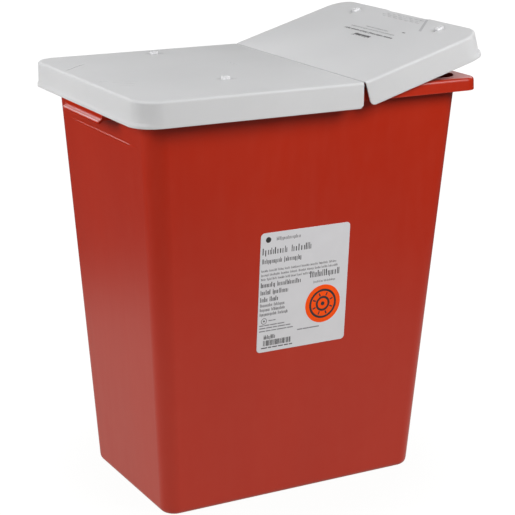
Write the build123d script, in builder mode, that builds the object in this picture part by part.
from build123d import *
import math
import os

os.makedirs("parts", exist_ok=True)

# ---------------------------------------------------------------------------
# Large-volume sharps container: one tapered tub, one press-fit lid moulding
# whose end third is a flap on a living hinge, and one adhesive label.
# Frame: origin at the centre of the flat base, +X along the long side towards
# the flap, -Y the labelled front, +Z up.  Millimetres.
# ---------------------------------------------------------------------------

# --- driving dimensions ----------------------------------------------------
base_hx, base_hy = 177.5, 108.4      # tub half-sizes at the base
ref_z = 495.0                        # height where the upper half-sizes hold
ref_hx, ref_hy = 210.66, 139.0       # tub half-sizes at ref_z
wall_t = 2.5                         # tub wall
floor_t = 3.0                        # tub floor
base_corner_r, top_corner_r = 19.0, 25.0
base_edge_r = 8.0                    # rounding between walls and base

rim_top_z = 518.0                    # top of the land round the mouth
land_t = 2.5                         # thickness of that land
rim_bottom_z = 502.6                 # lower edge of the rim's skirt
rim_hx, rim_hy, rim_r = 226.0, 156.0, 17.0
rim_skirt_t = 2.5
rim_draft = 3.0                      # degrees, skirt leans in going up
rim_edge_r = 4.0

grip_half_y = 54.0                   # hand grip below each end of the rim
grip_bottom_z = 483.0
grip_t = 2.5
grip_flare = 5.0                     # the grip leans out this far above its lip
grip_lip = 9.2                       # the lip's edge, out from the skirt
grip_lip_z = 487.8                   # where the lip starts
grip_corner_r = 3.5                  # lip corners, seen from above

lid_top_z = 526.0
lid_hx, lid_hy, lid_r = 232.0, 162.0, 30.0
lid_h = 31.0                         # skirt height
lid_t = 2.2                          # panel and skirt wall
lid_edge_r = 3.0
hinge_x = 57.2                       # hinge line, at the lid's top surface
hinge_gap = 1.2                      # panel edge to hinge axis, each side
ajar_deg = 16.4                      # flap angle at rest
slit_chamfer = 3.5                   # lower corner of the fixed skirt
flap_corner_r = 7.0                  # lower corner of the flap's side skirts

stud_w, stud_h = 12.0, 3.0
fixed_studs = [(-77.5, 131.0), (-78.6, -70.0)]
flap_studs_uv = [(152.2, 94.0), (153.6, -97.0)]

lip_h = 4.6                          # finger lip along the end skirts
left_lip_out, flap_lip_out = 1.2, 2.4

label_w, label_h, label_r, label_t = 123.6, 152.8, 5.0, 0.3
label_cx, label_z0 = -0.4, 197.4     # centre line and lower edge

# --- derived ---------------------------------------------------------------
tub_top_z = rim_top_z - land_t
kx = (ref_hx - base_hx) / ref_z
ky = (ref_hy - base_hy) / ref_z
top_hx = base_hx + kx * tub_top_z
top_hy = base_hy + ky * tub_top_z
lid_bottom_z = lid_top_z - lid_h
under_z = lid_top_z - lid_t          # underside of the lid's panel
a = math.radians(ajar_deg)

# plane of the flap's top surface: x from the hinge outwards, z its normal
flap_plane = Plane(origin=(hinge_x, 0, lid_top_z),
                   x_dir=(math.cos(a), 0, math.sin(a)),
                   z_dir=(-math.sin(a), 0, math.cos(a)))


def hx_at(z):
    return base_hx + kx * z


def hy_at(z):
    return base_hy + ky * z


# ---------------------------------------------------------------------------
# Tub: walls and floor, drafted on all sides
# ---------------------------------------------------------------------------
with BuildPart() as container_tub:
    with BuildSketch(Plane.XY):
        RectangleRounded(2 * base_hx, 2 * base_hy, base_corner_r)
    with BuildSketch(Plane.XY.offset(tub_top_z)):
        RectangleRounded(2 * top_hx, 2 * top_hy, top_corner_r)
    loft()
    fillet(container_tub.edges().filter_by_position(Axis.Z, -0.01, 0.01), base_edge_r)
    with BuildSketch(Plane.XY.offset(floor_t)):
        RectangleRounded(2 * (hx_at(floor_t) - wall_t), 2 * (hy_at(floor_t) - wall_t),
                         base_corner_r - wall_t)
    with BuildSketch(Plane.XY.offset(tub_top_z)):
        RectangleRounded(2 * (top_hx - wall_t), 2 * (top_hy - wall_t),
                         top_corner_r - wall_t)
    loft(mode=Mode.SUBTRACT)
    fillet(container_tub.edges().filter_by_position(Axis.Z, floor_t - 0.01, floor_t + 0.01),
           base_edge_r - wall_t)
container_tub.part.label = "container_tub"
export_step(container_tub.part, "parts/container_tub.step")

# solid block of the tub's outer form, used to trim what meets its walls
with BuildPart() as tub_block:
    with BuildSketch(Plane.XY):
        RectangleRounded(2 * base_hx, 2 * base_hy, base_corner_r)
    with BuildSketch(Plane.XY.offset(tub_top_z)):
        RectangleRounded(2 * top_hx, 2 * top_hy, top_corner_r)
    loft()

# ---------------------------------------------------------------------------
# Rim: land on top of the walls and a skirt turned down outside it
# ---------------------------------------------------------------------------
rim_skirt_h = rim_top_z - rim_bottom_z
with BuildPart() as rim_flange:
    with BuildSketch(Plane.XY.offset(rim_bottom_z)):
        RectangleRounded(2 * rim_hx, 2 * rim_hy, rim_r)
    extrude(amount=rim_skirt_h, taper=rim_draft)
    fillet(rim_flange.edges().filter_by_position(Axis.Z, rim_top_z - 0.01, rim_top_z + 0.01),
           rim_edge_r)
    with BuildSketch(Plane.XY.offset(rim_bottom_z)):
        RectangleRounded(2 * (rim_hx - rim_skirt_t), 2 * (rim_hy - rim_skirt_t),
                         rim_r - rim_skirt_t)
    extrude(amount=rim_skirt_h - land_t, taper=rim_draft, mode=Mode.SUBTRACT)
    with BuildSketch(Plane.XY.offset(tub_top_z - 1)):
        RectangleRounded(2 * (top_hx - wall_t), 2 * (top_hy - wall_t),
                         top_corner_r - wall_t)
    extrude(amount=land_t + 2, mode=Mode.SUBTRACT)
    fillet(rim_flange.edges().filter_by_position(Axis.Z, rim_top_z - 0.01, rim_top_z + 0.01),
           1.0)
rim_flange.part.label = "rim_flange"
export_step(rim_flange.part, "parts/rim_flange.step")

# ---------------------------------------------------------------------------
# Hand grips: the rim's skirt dropped lower in the middle of each end, with a
# turned-out lip along its lower edge and a side return to the wall at each end
# ---------------------------------------------------------------------------
grip_names = ["left_hand_grip", "right_hand_grip"]
for grip_name, s in zip(grip_names, (-1, 1)):
    with BuildPart() as grip:
        with BuildSketch(Plane.XZ.offset(-grip_half_y)):
            with BuildLine():
                Polyline((s * (rim_hx - grip_t), rim_bottom_z),
                         (s * rim_hx, rim_bottom_z),
                         (s * (rim_hx + grip_flare), grip_lip_z),
                         (s * (rim_hx + grip_lip), grip_lip_z - 2.4),
                         (s * (rim_hx + grip_lip), grip_bottom_z + 1.2),
                         (s * (rim_hx + grip_lip - 1.2), grip_bottom_z),
                         (s * (rim_hx + grip_flare - 1.6), grip_bottom_z + 2.6),
                         (s * (rim_hx + grip_flare - grip_t - 0.2), grip_lip_z - 0.8),
                         close=True)
            make_face()
        extrude(amount=2 * grip_half_y)
        # corners of the lip rounded in plan
        with BuildSketch(Plane.XY.offset(grip_bottom_z - 1)) as plan:
            with Locations((s * (rim_hx + grip_lip - 30), 0)):
                Rectangle(60, 2 * grip_half_y)
            fillet([v for v in plan.vertices() if s * v.X > rim_hx], grip_corner_r)
        extrude(amount=30, mode=Mode.INTERSECT)
        for t in (-1, 1):
            y_mid = t * (grip_half_y - grip_t / 2)
            with BuildSketch(Plane.XZ.offset(-y_mid - grip_t / 2)):
                with BuildLine():
                    Polyline((s * (rim_hx - 20), grip_bottom_z + 3.2),
                             (s * (rim_hx + 3.2), grip_bottom_z + 3.8),
                             (s * (rim_hx - 1.2), rim_bottom_z),
                             (s * (rim_hx - 20), rim_bottom_z), close=True)
                make_face()
            extrude(amount=grip_t)
        add(tub_block.part, mode=Mode.SUBTRACT)
    grip.part.label = grip_name
    export_step(grip.part, "parts/" + grip_name + ".step")

# ---------------------------------------------------------------------------
# Fixed panel of the lid: flat top, skirt on three sides, open at the split
# ---------------------------------------------------------------------------
split_x = hinge_x - hinge_gap
with BuildPart() as lid_fixed_panel:
    with BuildSketch(Plane.XY.offset(lid_bottom_z)):
        RectangleRounded(2 * lid_hx, 2 * lid_hy, lid_r)
        with Locations((split_x + 200, 0)):
            Rectangle(400, 2 * lid_hy + 10, mode=Mode.SUBTRACT)
    extrude(amount=lid_h)
    top_rim = lid_fixed_panel.edges().filter_by_position(Axis.Z, lid_top_z - 0.01, lid_top_z + 0.01)
    fillet([e for e in top_rim if abs(e.center().X - split_x) > 0.01], lid_edge_r)
    with BuildSketch(Plane.XY.offset(lid_bottom_z)):
        RectangleRounded(2 * (lid_hx - lid_t), 2 * (lid_hy - lid_t), lid_r - lid_t)
        with Locations((split_x + 201, 0)):
            Rectangle(400, 2 * lid_hy + 10, mode=Mode.SUBTRACT)
    extrude(amount=lid_h - lid_t, mode=Mode.SUBTRACT)
    # the pocket runs out through the split face
    with BuildSketch(Plane.XY.offset(lid_bottom_z)):
        with Locations((split_x, 0)):
            Rectangle(4, 2 * (lid_hy - lid_t))
    extrude(amount=lid_h - lid_t, mode=Mode.SUBTRACT)
    # small chamfer at the lower corner of each side skirt
    with BuildSketch(Plane.XZ.offset(-lid_hy - 5)):
        with BuildLine():
            Polyline((split_x - slit_chamfer, lid_bottom_z - 1),
                     (split_x - slit_chamfer, lid_bottom_z),
                     (split_x, lid_bottom_z + slit_chamfer),
                     (split_x + 1, lid_bottom_z + slit_chamfer),
                     (split_x + 1, lid_bottom_z - 1), close=True)
        make_face()
    extrude(amount=2 * lid_hy + 10, mode=Mode.SUBTRACT)
lid_fixed_panel.part.label = "lid_fixed_panel"
export_step(lid_fixed_panel.part, "parts/lid_fixed_panel.step")

# ---------------------------------------------------------------------------
# Flap: the lid's other end, the same section, laid out on its own plane
# ---------------------------------------------------------------------------
flap_len = lid_hx - hinge_x
mid_u = -hinge_x                      # lid centre in flap coordinates
with BuildPart() as lid_flap:
    with BuildSketch(flap_plane.offset(-lid_h)):
        with Locations((mid_u, 0)):
            RectangleRounded(2 * lid_hx, 2 * lid_hy, lid_r)
        with Locations((hinge_gap - 300, 0)):
            Rectangle(600, 2 * lid_hy + 10, mode=Mode.SUBTRACT)
    extrude(amount=lid_h)
    top_rim = [e for e in lid_flap.edges()
               if abs(flap_plane.to_local_coords(e.center()).Z) < 0.01
               and flap_plane.to_local_coords(e.center()).X > hinge_gap + 0.01]
    fillet(top_rim, lid_edge_r)
    with BuildSketch(flap_plane.offset(-lid_h)):
        with Locations((mid_u, 0)):
            RectangleRounded(2 * (lid_hx - lid_t), 2 * (lid_hy - lid_t), lid_r - lid_t)
        with Locations((hinge_gap - 1 - 300, 0)):
            Rectangle(600, 2 * lid_hy + 10, mode=Mode.SUBTRACT)
    extrude(amount=lid_h - lid_t, mode=Mode.SUBTRACT)
    # rounded lower corner of each side skirt beside the slit
    side_plane = Plane(origin=flap_plane.from_local_coords((0, -lid_hy - 5, 0)),
                       x_dir=flap_plane.x_dir, z_dir=(0, -1, 0))
    c = flap_corner_r
    with BuildSketch(side_plane):
        with BuildLine():
            Polyline((hinge_gap, -lid_h + c), (hinge_gap - 1, -lid_h + c),
                     (hinge_gap - 1, -lid_h - 1), (hinge_gap + c, -lid_h - 1),
                     (hinge_gap + c, -lid_h))
            ThreePointArc((hinge_gap + c, -lid_h),
                          (hinge_gap + c - c * math.sqrt(0.5), -lid_h + c - c * math.sqrt(0.5)),
                          (hinge_gap, -lid_h + c))
        make_face()
    extrude(amount=-(2 * lid_hy + 10), mode=Mode.SUBTRACT)
lid_flap.part.label = "lid_flap"
export_step(lid_flap.part, "parts/lid_flap.step")

# ---------------------------------------------------------------------------
# Living hinge: thin web of the same moulding, joined to the fixed panel
# ---------------------------------------------------------------------------
with BuildPart() as living_hinge:
    with BuildSketch(Plane.XY.offset(lid_top_z - 0.8)):
        with Locations((hinge_x - 0.1, 0)):
            Rectangle(2 * hinge_gap - 0.2, 2 * (lid_hy - 5.0))
    extrude(amount=0.5)
living_hinge.part.label = "living_hinge"
export_step(living_hinge.part, "parts/living_hinge.step")

# ---------------------------------------------------------------------------
# Square studs on both halves of the lid
# ---------------------------------------------------------------------------
with BuildPart() as fixed_lid_studs:
    with BuildSketch(Plane.XY.offset(lid_top_z)):
        with Locations(*fixed_studs):
            RectangleRounded(stud_w, stud_w, 1.0)
    extrude(amount=stud_h, taper=4)
fixed_lid_studs.part.label = "fixed_lid_studs"
export_step(fixed_lid_studs.part, "parts/fixed_lid_studs.step")

with BuildPart() as flap_studs:
    with BuildSketch(flap_plane):
        with Locations(*flap_studs_uv):
            RectangleRounded(stud_w, stud_w, 1.0)
    extrude(amount=stud_h, taper=4)
flap_studs.part.label = "flap_studs"
export_step(flap_studs.part, "parts/flap_studs.step")

# ---------------------------------------------------------------------------
# Snap beads inside the fixed skirt: they hook under the rim's lower edge
# ---------------------------------------------------------------------------
bead_in = 5.3                         # how far a bead stands in from the skirt
bead_z0, bead_z1 = 497.0, 502.0
with BuildPart() as lid_snap_beads:
    for t in (-1, 1):
        # left end, either side of the hand grip
        with BuildSketch(Plane.XZ.offset(-t * 95 - 23)):
            with BuildLine():
                Polyline((-(lid_hx - lid_t), bead_z0), (-(lid_hx - lid_t - bead_in), bead_z1 - 1.2),
                         (-(lid_hx - lid_t - bead_in), bead_z1), (-(lid_hx - lid_t), bead_z1),
                         close=True)
            make_face()
        extrude(amount=46)
        # front and back
        for xc in (-150.0, -10.0):
            with BuildSketch(Plane.YZ.offset(xc - 40)):
                with BuildLine():
                    Polyline((t * (lid_hy - lid_t), bead_z0), (t * (lid_hy - lid_t - bead_in), bead_z1 - 1.2),
                             (t * (lid_hy - lid_t - bead_in), bead_z1), (t * (lid_hy - lid_t), bead_z1),
                             close=True)
                make_face()
            extrude(amount=80)
lid_snap_beads.part.label = "lid_snap_beads"
export_step(lid_snap_beads.part, "parts/lid_snap_beads.step")

# ---------------------------------------------------------------------------
# Catch beads inside the flap's end skirt, either side of the hand grip
# ---------------------------------------------------------------------------
catch_u = lid_hx - lid_t - hinge_x    # inner face of the end skirt
catch_in = 3.3
with BuildPart() as flap_catch_beads:
    for t in (-1, 1):
        with BuildSketch(Plane(origin=flap_plane.from_local_coords((0, t * 95 - 23, 0)),
                               x_dir=flap_plane.x_dir, z_dir=(0, -1, 0))):
            with BuildLine():
                Polyline((catch_u, -29.0), (catch_u - catch_in, -26.2),
                         (catch_u - catch_in, -25.0), (catch_u, -24.0), close=True)
            make_face()
        extrude(amount=-46)
flap_catch_beads.part.label = "flap_catch_beads"
export_step(flap_catch_beads.part, "parts/flap_catch_beads.step")

# ---------------------------------------------------------------------------
# Stop ribs under both panels: the lid rests on the rim's land through them
# ---------------------------------------------------------------------------
rib_t, rib_len = 2.0, 36.0
with BuildPart() as lid_stop_ribs:
    with BuildSketch(Plane.XY.offset(rim_top_z)):
        with Locations((-150, 146.5), (-60, 146.5), (20, 146.5),
                       (-150, -146.5), (-60, -146.5), (20, -146.5)):
            Rectangle(rib_len, rib_t)
        with Locations((-216.5, 80), (-216.5, 0), (-216.5, -80)):
            Rectangle(rib_t, rib_len)
    extrude(amount=under_z - rim_top_z)
lid_stop_ribs.part.label = "lid_stop_ribs"
export_step(lid_stop_ribs.part, "parts/lid_stop_ribs.step")

flap_rib_h = under_z - rim_top_z - 0.3
with BuildPart() as flap_stop_ribs:
    with BuildSketch(flap_plane.offset(-lid_t)):
        with Locations((45, 146.5), (110, 146.5), (45, -146.5), (110, -146.5)):
            Rectangle(rib_len, rib_t)
        with Locations((216.5 - hinge_x, 80), (216.5 - hinge_x, 0), (216.5 - hinge_x, -80)):
            Rectangle(rib_t, rib_len)
    extrude(amount=-flap_rib_h)
flap_stop_ribs.part.label = "flap_stop_ribs"
export_step(flap_stop_ribs.part, "parts/flap_stop_ribs.step")

# ---------------------------------------------------------------------------
# Lips along the lower edge of the end skirts
# ---------------------------------------------------------------------------
lip_from = lid_hx - 17.0              # the lip starts part-way round the corners
with BuildPart() as lid_end_lip:
    with BuildSketch(Plane.XY.offset(lid_bottom_z)):
        RectangleRounded(2 * (lid_hx + left_lip_out), 2 * (lid_hy + left_lip_out), lid_r + left_lip_out)
        RectangleRounded(2 * lid_hx, 2 * lid_hy, lid_r, mode=Mode.SUBTRACT)
        with Locations((400 - lip_from, 0)):
            Rectangle(800, 400, mode=Mode.SUBTRACT)
    extrude(amount=lip_h)
lid_end_lip.part.label = "lid_end_lip"
export_step(lid_end_lip.part, "parts/lid_end_lip.step")

with BuildPart() as flap_lift_lip:
    with BuildSketch(flap_plane.offset(-lid_h)):
        with Locations((mid_u, 0)):
            RectangleRounded(2 * (lid_hx + flap_lip_out), 2 * (lid_hy + flap_lip_out), lid_r + flap_lip_out)
            RectangleRounded(2 * lid_hx, 2 * lid_hy, lid_r, mode=Mode.SUBTRACT)
        with Locations((mid_u + lip_from - 400, 0)):
            Rectangle(800, 400, mode=Mode.SUBTRACT)
    extrude(amount=lip_h)
flap_lift_lip.part.label = "flap_lift_lip"
export_step(flap_lift_lip.part, "parts/flap_lift_lip.step")

# ---------------------------------------------------------------------------
# Label on the drafted front wall
# ---------------------------------------------------------------------------
fall = math.atan(ky)                  # the front wall's lean from vertical
wall_plane = Plane(origin=(label_cx, -hy_at(label_z0), label_z0),
                   x_dir=(1, 0, 0), z_dir=(0, -math.cos(fall), -math.sin(fall)))
with BuildPart() as front_label:
    with BuildSketch(wall_plane):
        with Locations((0, label_h / 2)):
            RectangleRounded(label_w, label_h, label_r)
    extrude(amount=label_t)
front_label.part.label = "front_label"
export_step(front_label.part, "parts/front_label.step")
